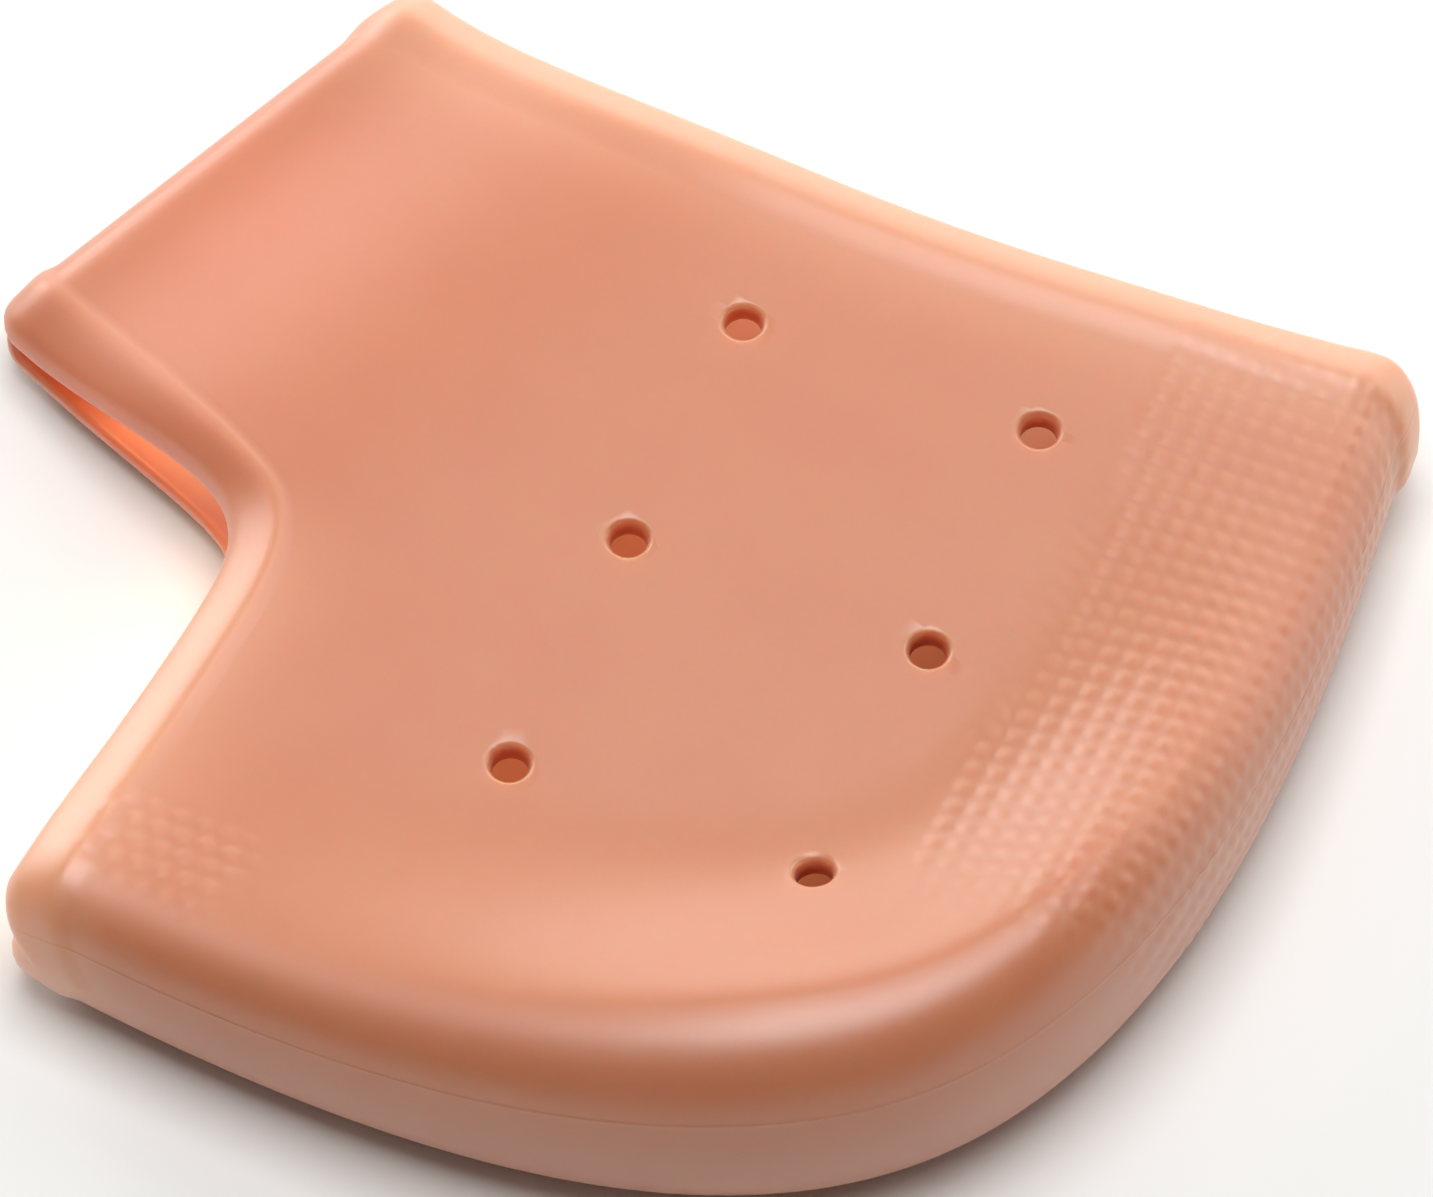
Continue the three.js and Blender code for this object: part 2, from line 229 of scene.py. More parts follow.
def lengths_along(points):
    """Lengths from the first point of a row of points, or of each row of a grid."""
    steps = np.linalg.norm(np.diff(points, axis=-2), axis=-1)
    start = np.zeros((*steps.shape[:-1], 1))
    return np.concatenate([start, np.cumsum(steps, axis=-1)], axis=-1)


def bend(turn, squareness):
    """A fold seen along its length, from -90 degrees at the bottom to 90 at the top."""
    power = 2 / squareness
    out = abs(math.cos(turn)) ** power
    up = math.copysign(abs(math.sin(turn)) ** power, math.sin(turn))
    return out, up


# The lips, as shares of a lip's width from the edge of its mouth
RIDGE = 0.75
LEG_LIP_END = 1.3
FOOT_LIP_END = 2.1
LIP_TURN_POWER = 1.5  # 1 turns in along a straight slope, more turns in close to the edge

# The mesh
LIP_STEPS = 11
RIM_STEPS = 8
SECTION_STEPS = 96
STRAP_STEPS = 14
BOTTOM_STEPS = 26
INNER_ROWS = 45
FOLD_SAMPLES = 721
CREST_SAMPLES = 400
TYPICAL_SPAN = 86 * MM  # crest to crest
FINE_BAND = 15 * MM  # from the heel's crest, where the bumps are
FINE = 0.37 * MM  # spacing of the mesh over the bumps
TENDON_FINE = 0.45 * MM
COARSE = 1.4 * MM
FINE_FROM = math.radians(-40)  # lowest part of the heel fold with a fine mesh

# The moulded relief
BUMPS_FADE = (math.radians(-75), math.radians(-45))  # from none to all, round the heel fold
PILLOW_POWER = 1.5  # more makes a bump narrower at its top
FADE_ROWS = 5  # sole rows that die out toward the heel
PARTING_WIDTH = 0.22 * MM
PARTING_GAP = 1.4 * PARTING_WIDTH  # clear of other columns on each side of the line
PARTING_TURN = 0.012  # radians round the fold

# The vent holes
FLARE_FROM = 24  # degrees between the face and the flare where they meet
FLARE_STEPS = 8
HOLE_SIDES = 40
CUTTER_CLEAR = 1 * MM
LEAN_STEP = 0.6 * MM

# The rubber
# Painted glow: a paler colour at the thin edges of the mouths stands in for light shining
# through the rubber and the sheen at its edges
PAINTED_GLOW_REACH = 7 * MM  # reach of the painted glow along the skin from a mouth's thin edge
INNER_PAINTED_GLOW = 0.3
PAINTED_GLOW_LEG_RIM = (0.35, 0.65)  # of the leg mouth from its heel side, from painted glow to none; the glow is painted only on the side that faces the back light
CLOUD_SIZE = 11 * MM
GRAIN_DEPTH = 0.12  # of the grain's size
GRAIN_STRENGTH = 0.35
LIGHT_REACH = (5.0, 2.2, 1.2)  # millimetres that red, green and blue go into the rubber
MIX_FIRST, MIX_SECOND, MIX_RESULT = 6, 7, 2  # a Mix node's colour sockets, which share names

# The studio, in metres apart from the camera's sensor
FLOOR_WIDTH = 1.2
FLOOR_GAP = 0.05 * MM  # keeps the floor from showing through the side that lies on it
SOFT_BOX_DISTANCE = 0.9
CAMERA_REACH = 10
SENSOR_WIDTH = 36
GLOW_COLOUR = (1, 0.64, 0.38)
SOFT_BOXES = (  # azimuth and elevation in degrees, width and height in metres, watts
    ("top_soft_box", 0, 88, 0.6, 0.6, 6.8),
    ("back_soft_box", 85, 42, 0.6, 0.6, 1.6),
    ("fill_soft_box", 240, 65, 0.6, 0.6, 0.7),
    ("left_soft_box", 158, 20, 0.6, 0.5, 3),
    ("right_soft_box", 45, 18, 0.6, 0.5, 1.8),
    ("back_panel", 115, 14, 1.6, 0.42, 5),
)
HOLLOWS = (  # the glow's panels: a low and a high corner in millimetres, and a share of it
    ("heel_glow", (-38, -30), (46, 20, 10), 1),
    ("instep_glow", (3, 20), (50, 35, 7), 1.8),
    ("ankle_glow", (-42, 20), (-4, 34, 9), 2.3),
    ("strap_glow", (4, 35), (34, 48, 7), 5),
)


class Lip:
    """How far a mouth's lip raises and turns in the skin, for each row."""

    def __init__(self, raised, fold_raised, turned):
        self.raised = raised
        self.fold_raised = fold_raised
        self.turned = turned

    @classmethod
    def at(cls, share, end, raised, fold_raised, turned):
        """share is the distance from the edge in lip widths, and end is where the lip ends."""
        up = 1 - smoothstep(share, RIDGE, end)
        down = np.maximum(1 - share, 0) ** LIP_TURN_POWER
        return cls(raised * up, fold_raised * up, turned * down)

    @classmethod
    def none(cls, rows):
        return cls(np.zeros(rows), np.zeros(rows), np.zeros(rows))

    def then(self, other):
        return Lip(np.concatenate([self.raised, other.raised]),
                   np.concatenate([self.fold_raised, other.fold_raised]),
                   np.concatenate([self.turned, other.turned]))


class Tube:
    """The flattened tube. s goes from the strap fold to the heel fold, v from the leg mouth to
    the foot mouth, and a column is one line along the tube."""

    def __init__(self, outline, heights, walls):
        self.heights = heights
        self.walls = walls
        self.corner_round = outline.corner_round
        self.sole = np.zeros(2)
        self.foot_instep = away(self.sole, outline.foot_mouth, outline.foot_mouth_angle)
        self.leg_instep = away(self.foot_instep, outline.strap, outline.strap_angle)
        self.achilles = away(self.leg_instep, outline.leg_mouth, outline.leg_mouth_angle)
        self.leg_mouth = (
            self.leg_instep,
            away(self.leg_instep, outline.notch_front_run, outline.notch_front_angle),
            away(self.achilles, outline.notch_back_run, outline.notch_back_angle),
            self.achilles,
        )
        self.foot_mouth = (
            self.foot_instep,
            away(self.foot_instep, outline.mouth_top_run, outline.mouth_top_angle),
            away(self.sole, outline.mouth_sole_run, outline.mouth_sole_angle),
            self.sole,
        )
        self.heel_fold = (
            self.achilles,
            away(self.achilles, outline.achilles_run, outline.achilles_angle),
            away(self.sole, outline.sole_run, outline.sole_angle),
            self.sole,
        )

    def plan(self, s, v):
        """Points of the plan, blended from its four edges."""
        s_along = s[..., None]
        v_along = v[..., None]
        across = lerp(bezier(self.leg_mouth, s), bezier(self.foot_mouth, s), v_along)
        strap_fold = lerp(self.leg_instep, self.foot_instep, v_along)
        along = lerp(strap_fold, bezier(self.heel_fold, v), s_along)
        leg_corners = lerp(self.leg_instep, self.achilles, s_along)
        foot_corners = lerp(self.foot_instep, self.sole, s_along)
        return across + along - lerp(leg_corners, foot_corners, v_along)

    def sections(self, v):
        """Points across the plan at each v, and their distances from the strap fold."""
        s = np.linspace(0, 1, SECTION_STEPS + 1)[None, :]
        points = self.plan(s, v[:, None])
        return points, lengths_along(points)

    def heel_height(self, v):
        high = self.heights
        full = lerp(high.achilles, high.heel, smoothstep(v, 0, high.heel_rise))
        return lerp(full, high.sole, smoothstep(v, 1 - high.heel_rise, 1))

    def top_height(self, v, from_heel, from_strap):
        """Height of the upper side, from its distances to the crests of the two folds."""
        high = self.heights
        mouths = high.leg_mouth * (1 - v) ** 2 + high.foot_mouth * v ** 2
        dish = mouths + high.dish * 2 * v * (1 - v)
        share = smoothstep(from_heel / (from_heel + from_strap), 0, 1)
        straight = lerp(self.heel_height(v), high.strap, share)
        heel_flank = np.clip(from_heel / high.heel_flank, 0, 1) ** high.flank_ease
        strap_flank = np.clip(from_strap / high.strap_flank, 0, 1) ** high.flank_ease
        dished = smoothstep(heel_flank, 0, 1) * smoothstep(strap_flank, 0, 1)
        return lerp(straight, dish, dished)

    def profile(self, column, v, width, wall, lip):
        """Distances from the strap fold, and heights. wall is 0 outside and 1 inside."""
        kind, place = column
        high = self.heights
        heel = self.heel_height(v)
        heel_depth = heel * high.heel_fold_depth
        strap_depth = high.strap * high.strap_fold_depth
        inset = wall * self.walls.side + lip.turned
        if kind == "heel":
            out, up = bend(place, high.heel_fold_squareness)
            raised = (1 - wall) * lerp(lip.fold_raised, lip.raised, abs(up))
            from_crest = (heel_depth - wall * self.walls.heel + raised) * out
            z = heel / 2 + (heel / 2 - inset) * up + raised * max(up, 0)
            return width - heel_depth + from_crest, z
        if kind == "strap":
            out, up = bend(place, high.strap_fold_squareness)
            raised = (1 - wall) * lip.raised
            from_crest = (strap_depth - wall * self.walls.strap + raised) * out
            z = high.strap / 2 + (high.strap / 2 - inset) * up + raised * max(up, 0)
            return strap_depth - from_crest, z
        span = width - heel_depth - strap_depth
        from_heel = span * place
        if kind == "bottom":
            return width - heel_depth - from_heel, inset
        top = self.top_height(v, from_heel, span - from_heel)
        return width - heel_depth - from_heel, top - inset + (1 - wall) * lip.raised

    def skin(self, column, v, wall, lip):
        """Points of one column at each v."""
        points, lengths = self.sections(v)
        distance, z = self.profile(column, v, lengths[:, -1], wall, lip)
        after = np.clip((lengths < distance[:, None]).sum(axis=1), 1, SECTION_STEPS)
        rows = np.arange(len(v))
        start, end = lengths[rows, after - 1], lengths[rows, after]
        share = ((distance - start) / (end - start))[:, None]
        flat = lerp(points[rows, after - 1], points[rows, after], share)
        return np.column_stack([flat, z])

    def ends(self, column):
        """The v of each edge of a column, and the length of tube to one unit of v there."""
        small = 0.01
        v = np.array([0, small, 1 - small, 1])
        plain = Lip.none(4)
        points = self.skin(column, v, 0, plain)[:, :2]
        leg_pace = np.linalg.norm(points[0] - points[1]) / small
        foot_pace = np.linalg.norm(points[3] - points[2]) / small
        width = self.sections(v)[1][:, -1]
        distance, _ = self.profile(column, v, width, 0, plain)
        left = np.clip(self.corner_round - np.minimum(distance, width - distance), 0,
                       self.corner_round)
        setback = self.corner_round - np.sqrt(self.corner_round ** 2 - left ** 2)
        return setback[0] / leg_pace, 1 - setback[3] / foot_pace, leg_pace, foot_pace

    def between_lips(self, column):
        """The v of each end of a column's plain part, with its edges and its steps of a lip."""
        leg_edge, foot_edge, leg_pace, foot_pace = self.ends(column)
        leg_step = self.walls.leg_lip_width / leg_pace
        foot_step = -self.walls.foot_lip_width / foot_pace
        start = leg_edge + leg_step * LEG_LIP_END
        end = foot_edge + foot_step * FOOT_LIP_END
        return start, end, leg_edge, foot_edge, leg_step, foot_step

    def rows(self, column, shares):
        """The v of each row of a column and its lip. shares are those between the lips."""
        walls = self.walls
        start, end, leg_edge, foot_edge, leg_step, foot_step = self.between_lips(column)
        steps = np.arange(LIP_STEPS) / LIP_STEPS
        leg_share = LEG_LIP_END * steps
        foot_share = FOOT_LIP_END * steps[::-1]
        v = np.concatenate([leg_edge + leg_step * leg_share, lerp(start, end, shares),
                            foot_edge + foot_step * foot_share])
        leg = Lip.at(leg_share, LEG_LIP_END, walls.leg_lip_raise, walls.leg_lip_fold_raise,
                     walls.leg_lip_turn)
        foot = Lip.at(foot_share, FOOT_LIP_END, walls.foot_lip_raise, walls.foot_lip_fold_raise,
                      walls.foot_lip_turn)
        return v, leg.then(Lip.none(len(shares))).then(foot)


def spaced(start, *stretches):
    """Places from a start, through stretches of (end, spacing), with the last end."""
    places = []
    for end, spacing in stretches:
        steps = max(round((end - start) / spacing), 1)
        places.append(np.linspace(start, end, steps, endpoint=False))
        start = end
    return np.concatenate([*places, [start]])


def heel_turns(heights, parting_angle):
    """Turns round the heel fold, even along its curve and close together at the parting line."""
    turns = np.linspace(-math.pi / 2, math.pi / 2, FOLD_SAMPLES)
    bends = np.array([bend(turn, heights.heel_fold_squareness) for turn in turns])
    along = lengths_along(bends * [heights.heel * heights.heel_fold_depth, heights.heel / 2])
    fine_from, line = np.interp([FINE_FROM, parting_angle], turns, along)
    places = spaced(0, (fine_from, COARSE), (along[-1], FINE))[:-1]
    places = places[abs(places - line) > PARTING_GAP]
    close = line + PARTING_WIDTH * np.array([-1, -0.5, 0, 0.5, 1])
    return np.interp(np.sort(np.concatenate([places, close])), along, turns)


def columns_of(heights, parting_angle):
    """The columns round the tube: heel fold, upper side, strap fold, lower side."""
    top = spaced(0, (FINE_BAND, FINE), (TYPICAL_SPAN, COARSE))[:-1] / TYPICAL_SPAN
    strap = math.pi * (0.5 - np.arange(STRAP_STEPS) / STRAP_STEPS)
    bottom = 1 - np.arange(BOTTOM_STEPS) / BOTTOM_STEPS
    return ([("heel", turn) for turn in heel_turns(heights, parting_angle)]
            + [("top", share) for share in top]
            + [("strap", turn) for turn in strap]
            + [("bottom", share) for share in bottom])


def row_shares(tube, grip):
    """Shares of the length between the lips, close together where the bumps are."""
    crest = ("top", 0.0)
    start_v, end_v, *_ = tube.between_lips(crest)
    v = np.linspace(start_v, end_v, CREST_SAMPLES)
    points = tube.skin(crest, v, 0, Lip.none(len(v)))
    along = lengths_along(points)
    tendon_end = grip.tendon_length + grip.tendon_pitch
    sole_bumps = grip.sole_start + grip.pitch * (grip.sole_rows + 1)
    sole_from = along[np.argmax(points[:, 0] > tube.sole[0] - sole_bumps)]
    places = spaced(0, (tendon_end, TENDON_FINE), (sole_from, COARSE), (along[-1], FINE))
    return np.interp(places, along, np.linspace(0, 1, len(v)))


def rim(start, end, before):
    """Points of a rounded rim from one face to the other, bulging away from the wall."""
    middle = (start + end) / 2
    half = (start - end) / 2
    out = start - before
    out *= np.linalg.norm(half) / np.linalg.norm(out)
    turns = math.pi * np.arange(1, RIM_STEPS)[:, None] / RIM_STEPS
    points = middle + half * np.cos(turns) + out * np.sin(turns)
    points[:, 2] = np.maximum(points[:, 2], 0)
    return points


def wrapped(tube, columns, shares):
    """A grid of points, a closed loop for each column, and how many of them are outside."""
    inner_shares = np.linspace(0, 1, INNER_ROWS)
    loops = []
    for column in columns:
        v, lip = tube.rows(column, shares)
        outer = tube.skin(column, v, 0, lip)
        v, lip = tube.rows(column, inner_shares)
        inner = tube.skin(column, v, 1, lip)[::-1]
        foot_rim = rim(outer[-1], inner[0], outer[-2])
        leg_rim = rim(inner[-1], outer[0], inner[-2])
        loops.append(np.concatenate([outer, foot_rim, inner, leg_rim]))
    return np.array(loops), len(outer)


def outward(grid):
    """Unit normals of a grid of columns that closes on itself."""
    across = np.roll(grid, -1, axis=0) - np.roll(grid, 1, axis=0)
    along = np.gradient(grid, axis=1)
    normals = np.cross(along, across)
    return normals / np.linalg.norm(normals, axis=2, keepdims=True)


def unrolled(outer, heel_columns):
    """Flat places for the grid's points, with the heel fold rolled out past its crest, and how
    far each lies past the crest along the skin."""
    flat = outer[:, :, :2].copy()
    crest = outer[heel_columns]
    fold = outer[:heel_columns + 1]
    steps = np.linalg.norm(np.diff(fold, axis=0), axis=2)
    past = np.zeros(outer.shape[:2])
    past[:heel_columns] = np.cumsum(steps[::-1], axis=0)[::-1]
    upper_quarter = heel_columns * 3 // 4
    out = fold[upper_quarter, :, :2] - crest[:, :2]
    out /= np.linalg.norm(out, axis=1, keepdims=True)
    flat[:heel_columns] = crest[:, :2] + past[:heel_columns, :, None] * out
    from_crest = np.linalg.norm(flat - crest[:, :2], axis=2)
    return flat, np.where(past > 0, past, -from_crest)


def sole_bumps(flat, tube, grip):
    """Square rows of pillows, in line with the part's axes."""
    back = (tube.sole[0] - grip.sole_start - flat[:, :, 0]) / grip.pitch
    down = (tube.sole[1] + grip.sole_width - flat[:, :, 1]) / grip.pitch
    pillow = np.abs(np.sin(math.pi * back) * np.sin(math.pi * down)) ** PILLOW_POWER
    fade = 1 - smoothstep(back, grip.sole_rows - FADE_ROWS, grip.sole_rows)
    return pillow * fade * (back > 0) * (down > 0)


def tendon_bumps(flat, past, tube, grip):
    """Staggered round bumps, dying out toward the edges of their patch."""
    pitch = grip.tendon_pitch
    row_pitch = pitch * math.cos(math.pi / 6)
    x = flat[:, :, 0] - tube.achilles[0]
    y = flat[:, :, 1] - tube.achilles[1]
    nearest = np.full(x.shape, np.inf)
    for shift in (-1, 0, 1):
        row = np.round(x / row_pitch) + shift
        offset = np.where(row % 2 == 1, pitch / 2, 0)
        rest = (y - offset + pitch / 2) % pitch - pitch / 2
        nearest = np.minimum(nearest, np.hypot(x - row * row_pitch, rest))
    dome = 0.5 + 0.5 * np.cos(math.pi * np.minimum(nearest / (pitch / 2), 1))
    fade = 1.5 * pitch
    inside = (1 - smoothstep(-past, grip.tendon_width - fade, grip.tendon_width)) \
        * (1 - smoothstep(past, -pitch, pitch))
    along = (smoothstep(-y, grip.tendon_start - pitch / 2, grip.tendon_start)
             * (1 - smoothstep(-y, grip.tendon_length - fade, grip.tendon_length)))
    return dome * inside * along


def relief(outer, columns, tube, grip):
    """Height of the moulded relief over the plain skin."""
    heel_columns = sum(kind == "heel" for kind, _ in columns)
    flat, past = unrolled(outer, heel_columns)
    turns = np.array([place if kind == "heel" else math.pi / 2 for kind, place in columns])
    upper = smoothstep(turns, *BUMPS_FADE)[:, None]
    on_top = np.array([kind in ("heel", "top") for kind, _ in columns])[:, None]
    bumps = np.maximum(sole_bumps(flat, tube, grip), tendon_bumps(flat, past, tube, grip))
    line = np.array([kind == "heel" for kind, _ in columns]) \
        * np.exp(-((turns - grip.parting_angle) / PARTING_TURN) ** 2)
    return (grip.height * bumps * upper * on_top
            + grip.parting_height * line[:, None] * np.ones(outer.shape[1]))


def painted_rim_glow(grid, columns, outer_rows):
    """How much painted glow each point of the grid has: 1 at the mouths' thin edges, dying out
    along the skin. This paler colour stands in for light shining through the thin rubber and the
    sheen at its edges. The leg mouth has it only on its heel side, which faces the back light."""
    place = np.array([{"heel": 0, "strap": 1}.get(kind, place) for kind, place in columns])
    # The glow is painted only on the part of the leg mouth that faces the back light
    back_lit_side = 1 - smoothstep(place, *PAINTED_GLOW_LEG_RIM)[:, None]

    def near_ends(skin):
        from_first = lengths_along(skin)
        from_last = from_first[:, -1:] - from_first
        return [np.exp(-(distance / PAINTED_GLOW_REACH) ** 2) for distance in (from_first, from_last)]

    painted_glow = np.ones(grid.shape[:2])
    painted_glow[:, -RIM_STEPS:] = back_lit_side
    outer = slice(0, outer_rows)
    inner = slice(outer_rows + RIM_STEPS - 1, 1 - RIM_STEPS)
    leg, foot = near_ends(grid[:, outer])
    painted_glow[:, outer] = np.maximum(back_lit_side * leg, foot)
    foot, leg = near_ends(grid[:, inner])
    painted_glow[:, inner] = INNER_PAINTED_GLOW * np.maximum(back_lit_side * leg, foot)
    return painted_glow


def mesh_object(name, points, faces):
    mesh = bpy.data.meshes.new(name)
    mesh.from_pydata(points, [], faces)
    mesh.validate()
    mesh.shade_smooth()
    piece = bpy.data.objects.new(name, mesh)
    bpy.context.scene.collection.objects.link(piece)
    return piece


def wrapped_faces(columns, length):
    """Quads of a grid that closes on itself both ways, facing out."""
    column, row = np.meshgrid(np.arange(columns), np.arange(length), indexing="ij")
    here = column * length
    beside = (column + 1) % columns * length
    ahead = (row + 1) % length
    quads = np.stack([here + row, here + ahead, beside + ahead, beside + row], axis=-1)
    return quads.reshape(-1, 4).tolist()


def flare(holes, wall):
    """Radius and height down a hole, from over the face to past the wall."""
    turns = np.radians(np.linspace(FLARE_FROM, 90, FLARE_STEPS))
    radii = holes.sink_radius - (holes.sink_radius - holes.radius) * np.sin(turns)
    heights = -holes.sink_depth * (1 - np.cos(turns))
    heights -= heights[0]
    outside = (radii[0] + CUTTER_CLEAR, CUTTER_CLEAR * math.tan(math.radians(FLARE_FROM)))
    top = 2 * CUTTER_CLEAR
    end = -wall - CUTTER_CLEAR
    return [(0, top), (outside[0], top), outside, *zip(radii, heights), (holes.radius, end),
            (0, end)]


def turned(profile, placing):
    """Points and faces of a profile turned about Z, then placed by a matrix."""
    points = []
    for radius, height in profile[1:-1]:
        for side in range(HOLE_SIDES):
            turn = 2 * math.pi * side / HOLE_SIDES
            points.append((radius * math.cos(turn), radius * math.sin(turn), height))
    faces = []
    for ring in range(len(profile) - 3):
        for side in range(HOLE_SIDES):
            ahead = (side + 1) % HOLE_SIDES
            faces.append([ring * HOLE_SIDES + side, (ring + 1) * HOLE_SIDES + side,
                          (ring + 1) * HOLE_SIDES + ahead, ring * HOLE_SIDES + ahead])
    last = (len(profile) - 3) * HOLE_SIDES
    faces.append(list(range(HOLE_SIDES)))
    faces.append([last + side for side in reversed(range(HOLE_SIDES))])
    return [placing @ Vector(point) for point in points], faces


def lean_of(skin, x, y):
    """Where the upper skin is at a point of the plan, and which way it faces."""
    up = Vector((0, 0, 1))

    def top(across, along):
        hit, *_ = skin.ray_cast(Vector((across, along, 0)) + up, -up)
        return hit

    across = top(x + LEAN_STEP, y) - top(x - LEAN_STEP, y)
    along = top(x, y + LEAN_STEP) - top(x, y - LEAN_STEP)
    return top(x, y), across.cross(along).normalized()


def cut_holes(piece, middle, holes, wall):
    """Cuts the vent holes through both sides of the sleeve."""
    skin = BVHTree.FromObject(piece, bpy.context.evaluated_depsgraph_get())
    profile = flare(holes, wall)
    points, faces = [], []
    for row in range(holes.rows):
        for column in range(holes.columns):
            x = -holes.from_foot_mouth - row * holes.pitch_along - middle[0]
            y = holes.from_sole_corner + column * holes.pitch_across - middle[1]
            centre, facing = lean_of(skin, x, y)
            leaning = facing.to_track_quat("Z", "Y").to_matrix().to_4x4()
            upper = Matrix.Translation(centre) @ leaning
            lower = Matrix.Translation((x, y, 0)) @ Matrix.Rotation(math.pi, 4, "X")
            for placing in (upper, lower):
                more_points, more_faces = turned(profile, placing)
                faces += [[len(points) + corner for corner in face] for face in more_faces]
                points += more_points
    cutter = mesh_object("hole_cutter", points, faces)
    cut = piece.modifiers.new("vent holes", "BOOLEAN")
    cut.operation = "DIFFERENCE"
    cut.solver = "EXACT"
    cut.object = cutter
    evaluated = piece.evaluated_get(bpy.context.evaluated_depsgraph_get())
    mesh = bpy.data.meshes.new_from_object(evaluated)
    plain = piece.data
    piece.modifiers.clear()
    piece.data = mesh
    mesh.shade_smooth()
    bpy.data.meshes.remove(plain)
    bpy.data.objects.remove(cutter)


def add_node(tree, kind, settings=None, inputs=None):
    """A node with its settings and its inputs, each a value or the output it comes from."""
    node = tree.nodes.new(kind)
    for name, value in (settings or {}).items():
        setattr(node, name, value)
    for name, value in (inputs or {}).items():
        socket = node.inputs[name]
        if isinstance(value, bpy.types.NodeSocket):
            tree.links.new(value, socket)
        else:
            socket.default_value = value
    return node


def mix_colours(tree, share, first, second):
    """The output of a colour mix, where each colour is a value or the output it comes from."""
    mix = add_node(tree, "ShaderNodeMix", {"data_type": "RGBA"}, {
        "Factor": share, MIX_FIRST: first, MIX_SECOND: second})
    return mix.outputs[MIX_RESULT]


def new_material(name):
    material = bpy.data.materials.new(name)
    material.use_nodes = True
    material.node_tree.nodes.clear()
    return material, material.node_tree


def moulded_silicone(finish):
    """Silicone rubber cast in a sandblasted steel mould. Light goes a few millimetres into it
    and comes out redder, so thin edges glow and shadows stay warm. A painted glow mixes a paler
    colour in at the thin edge of each mouth, standing in for light shining through the rubber
    and the sheen at its edges. Slow clouds of pigment keep the sides from looking flat, and the
    mould's grain leaves a satin skin with a soft sheen in place of a gloss."""
    material, tree = new_material("moulded_silicone_rubber")
    place = add_node(tree, "ShaderNodeTexCoord").outputs["Object"]
    clouds = add_node(tree, "ShaderNodeTexNoise", {}, {
        "Vector": place, "Scale": 1 / CLOUD_SIZE, "Detail": 2, "Roughness": 0.5})
    tint = mix_colours(tree, clouds.outputs["Fac"], (*finish.body, 1), (*finish.blush, 1))
    grain = add_node(tree, "ShaderNodeTexNoise", {}, {
        "Vector": place, "Scale": 1 / finish.grain, "Detail": 1, "Roughness": 0.6})
    bump = add_node(tree, "ShaderNodeBump", {}, {
        "Strength": GRAIN_STRENGTH, "Distance": finish.grain * GRAIN_DEPTH,
        "Height": grain.outputs["Fac"]})
    # Painted glow: the thin edge of each mouth is mixed toward a paler colour, standing in for
    # light shining through it and the sheen at its edge
    painted_glow = add_node(tree, "ShaderNodeAttribute", {"attribute_name": PAINTED_GLOW_ATTRIBUTE})
    skin_with_painted_glow = mix_colours(tree, painted_glow.outputs["Fac"], tint, (*finish.glow_painted_rims, 1))
    shader = add_node(tree, "ShaderNodeBsdfPrincipled", {"subsurface_method": "RANDOM_WALK"}, {
        "Base Color": skin_with_painted_glow,
        "Roughness": finish.roughness,
        "IOR": 1.5,
        "Specular IOR Level": 1.0,
        "Coat Weight": 0.35,
        "Coat Roughness": 0.36,
        "Sheen Weight": 0.1,
        "Sheen Roughness": 0.35,
        "Subsurface Weight": finish.translucency,
        "Subsurface Radius": LIGHT_REACH,
        "Subsurface Scale": MM,
        "Normal": bump.outputs["Normal"],
    })
    add_node(tree, "ShaderNodeOutputMaterial", {}, {"Surface": shader.outputs["BSDF"]})
    return material


def matt_paper(name, tint):
    """Matt background paper: no gloss, so only soft shadows show on it."""
    material, tree = new_material(name)
    shader = add_node(tree, "ShaderNodeBsdfPrincipled", {}, {
        "Base Color": (*tint, 1), "Roughness": 0.9, "IOR": 1.5})
    add_node(tree, "ShaderNodeOutputMaterial", {}, {"Surface": shader.outputs["BSDF"]})
    return material


def panel(name, width, height, power):
    """A soft box, or any other flat light, in metres and watts."""
    light = bpy.data.lights.new(name, "AREA")
    light.shape = "RECTANGLE"
    light.size = width
    light.size_y = height
    light.energy = power
    piece = bpy.data.objects.new(name, light)
    bpy.context.scene.collection.objects.link(piece)
    return piece


def inner_glow(name, low, high, strength):
    """Light that comes through the walls into the hollow, as a panel that shines down."""
    width = (high[0] - low[0]) * MM
    depth = (high[1] - low[1]) * MM
    piece = panel(name, width, depth, strength * width * depth)
    piece.data.color = GLOW_COLOUR
    piece.location = ((low[0] + high[0]) / 2 * MM, (low[1] + high[1]) / 2 * MM, high[2] * MM)
    piece.visible_camera = False


def place_facing(piece, aim, azimuth, elevation, distance):
    """Puts a camera or light at a distance from the aim point, facing it."""
    away_from = Vector((math.cos(elevation) * math.sin(azimuth),
                        -math.cos(elevation) * math.cos(azimuth), math.sin(elevation)))
    piece.location = aim + distance * away_from
    piece.rotation_euler = away_from.to_track_quat("Z", "Y").to_euler()


def paper_floor(tint):
    """A square sheet just under the sleeve."""
    edge = FLOOR_WIDTH / 2
    corners = [(x, y, -FLOOR_GAP) for x, y in ((-edge, -edge), (edge, -edge), (edge, edge),
                                              (-edge, edge))]
    floor = mesh_object("floor", corners, [(0, 1, 2, 3)])
    floor.data.materials.append(matt_paper("matt_background_paper", tint))
    return floor


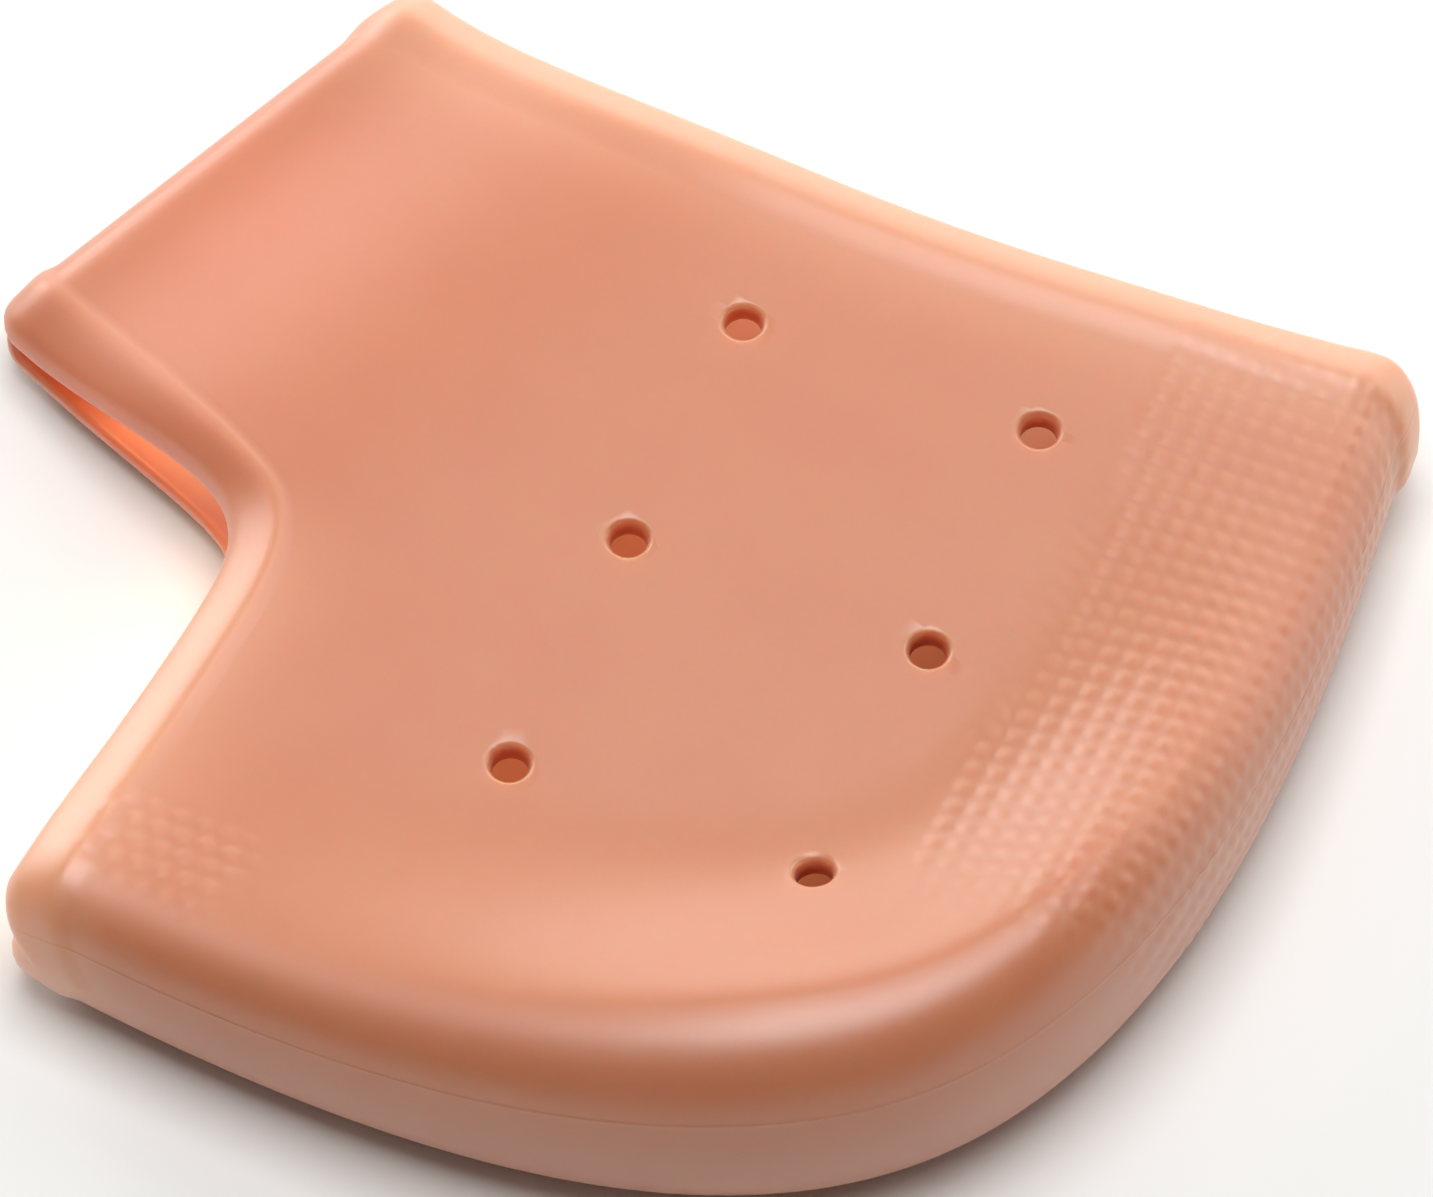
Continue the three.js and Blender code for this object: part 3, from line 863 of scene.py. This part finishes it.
def pale_surroundings(light, backdrop):
    """White surroundings that look bright in the picture and light the sleeve only a little."""
    world = bpy.data.worlds.new("pale_surroundings")
    world.use_nodes = True
    tree = world.node_tree
    background = tree.nodes["Background"]
    background.inputs["Color"].default_value = (1, 1, 1, 1)
    seen = add_node(tree, "ShaderNodeLightPath").outputs["Is Camera Ray"]
    strength = add_node(tree, "ShaderNodeMapRange", {}, {
        "Value": seen, "To Min": light, "To Max": backdrop})
    tree.links.new(strength.outputs["Result"], background.inputs["Strength"])
    return world


def photo_camera(pixels_to_millimetre, distance):
    """A camera whose lens gives the photograph's scale at its aim point."""
    camera = bpy.data.cameras.new("photo_camera")
    camera.sensor_width = SENSOR_WIDTH
    camera.lens = pixels_to_millimetre / MM * distance * SENSOR_WIDTH / IMAGE_WIDTH
    camera.clip_end = CAMERA_REACH
    piece = bpy.data.objects.new("photo_camera", camera)
    bpy.context.scene.collection.objects.link(piece)
    return piece


class MESH_OT_heel_sleeve(bpy.types.Operator):
    """Build the moulded sleeve with its lips, grip bumps and vent holes"""
    bl_idname = "mesh.heel_sleeve_add"
    bl_label = "Add heel sleeve"

    def execute(self, context):
        scene = context.scene
        grip = scene.sleeve_grip
        tube = Tube(scene.sleeve_outline, scene.sleeve_heights, scene.sleeve_walls)
        columns = columns_of(scene.sleeve_heights, grip.parting_angle)
        grid, outer_rows = wrapped(tube, columns, row_shares(tube, grip))
        flat = grid[:, :, :2].reshape(-1, 2)
        middle = (flat.min(axis=0) + flat.max(axis=0)) / 2
        outer = grid[:, :outer_rows]
        raised = relief(outer, columns, tube, grip)
        outer += outward(outer) * raised[:, :, None]
        grid[:, :, :2] -= middle
        points = grid.reshape(-1, 3).tolist()
        piece = mesh_object(PIECE + "_rubber", points, wrapped_faces(*grid.shape[:2]))
        # Painted glow at the mouths' thin edges, which the material mixes toward a paler colour
        painted_glow = piece.data.attributes.new(PAINTED_GLOW_ATTRIBUTE, "FLOAT", "POINT")
        painted_glow.data.foreach_set("value", painted_rim_glow(grid, columns, outer_rows).ravel())
        cut_holes(piece, middle, scene.sleeve_holes, scene.sleeve_walls.side)
        piece.data.materials.append(moulded_silicone(scene.sleeve_finish))
        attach(piece, "root")
        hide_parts(PIECE)
        return {"FINISHED"}


class SCENE_OT_heel_sleeve_stage(bpy.types.Operator):
    """Lay the floor, hang the soft boxes and set up the camera"""
    bl_idname = "scene.heel_sleeve_stage"
    bl_label = "Add floor, light and camera"

    def execute(self, context):
        scene = context.scene
        studio = scene.sleeve_studio
        aim = Vector((studio.aim_x, studio.aim_y, 0))
        floor = paper_floor(studio.floor)
        for name, azimuth, elevation, width, height, power in SOFT_BOXES:
            light = panel(name, width, height, power * studio.light)
            place_facing(light, aim, math.radians(azimuth), math.radians(elevation),
                         SOFT_BOX_DISTANCE)
        for name, low, high, share in HOLLOWS:
            inner_glow(name, low, high, share * studio.glow)
        scene.world = pale_surroundings(studio.sky, studio.backdrop)
        scene.view_settings.view_transform = "Standard"
        scene.camera = photo_camera(studio.scale, studio.distance)
        place_facing(scene.camera, aim, studio.azimuth, studio.elevation, studio.distance)
        return {"FINISHED"}


class VIEW3D_PT_heel_sleeve(bpy.types.Panel):
    """Sizes, finish and buttons of the heel sleeve"""
    bl_label = "Heel sleeve"
    bl_space_type = "VIEW_3D"
    bl_region_type = "UI"
    bl_category = "Heel Sleeve"

    def draw(self, context):
        for attribute, group in GROUPS.items():
            box = self.layout.box()
            for name in group.__annotations__:
                box.prop(getattr(context.scene, attribute), name)
        self.layout.operator(MESH_OT_heel_sleeve.bl_idname)
        self.layout.operator(SCENE_OT_heel_sleeve_stage.bl_idname)


GROUPS = {
    "sleeve_outline": SleeveOutline,
    "sleeve_heights": SleeveHeights,
    "sleeve_walls": SleeveWalls,
    "sleeve_holes": VentHoles,
    "sleeve_grip": GripBumps,
    "sleeve_finish": RubberFinish,
    "sleeve_studio": Studio,
}
CLASSES = (*GROUPS.values(), MESH_OT_heel_sleeve, SCENE_OT_heel_sleeve_stage,
           VIEW3D_PT_heel_sleeve)


def register():
    for each in CLASSES:
        bpy.utils.register_class(each)
    for attribute, group in GROUPS.items():
        setattr(bpy.types.Scene, attribute, PointerProperty(type=group))


def unregister():
    for attribute in GROUPS:
        delattr(bpy.types.Scene, attribute)
    for each in reversed(CLASSES):
        bpy.utils.unregister_class(each)


def main():
    register()
    bpy.ops.mesh.heel_sleeve_add()
    bpy.ops.scene.heel_sleeve_stage()


if __name__ == "__main__":
    main()
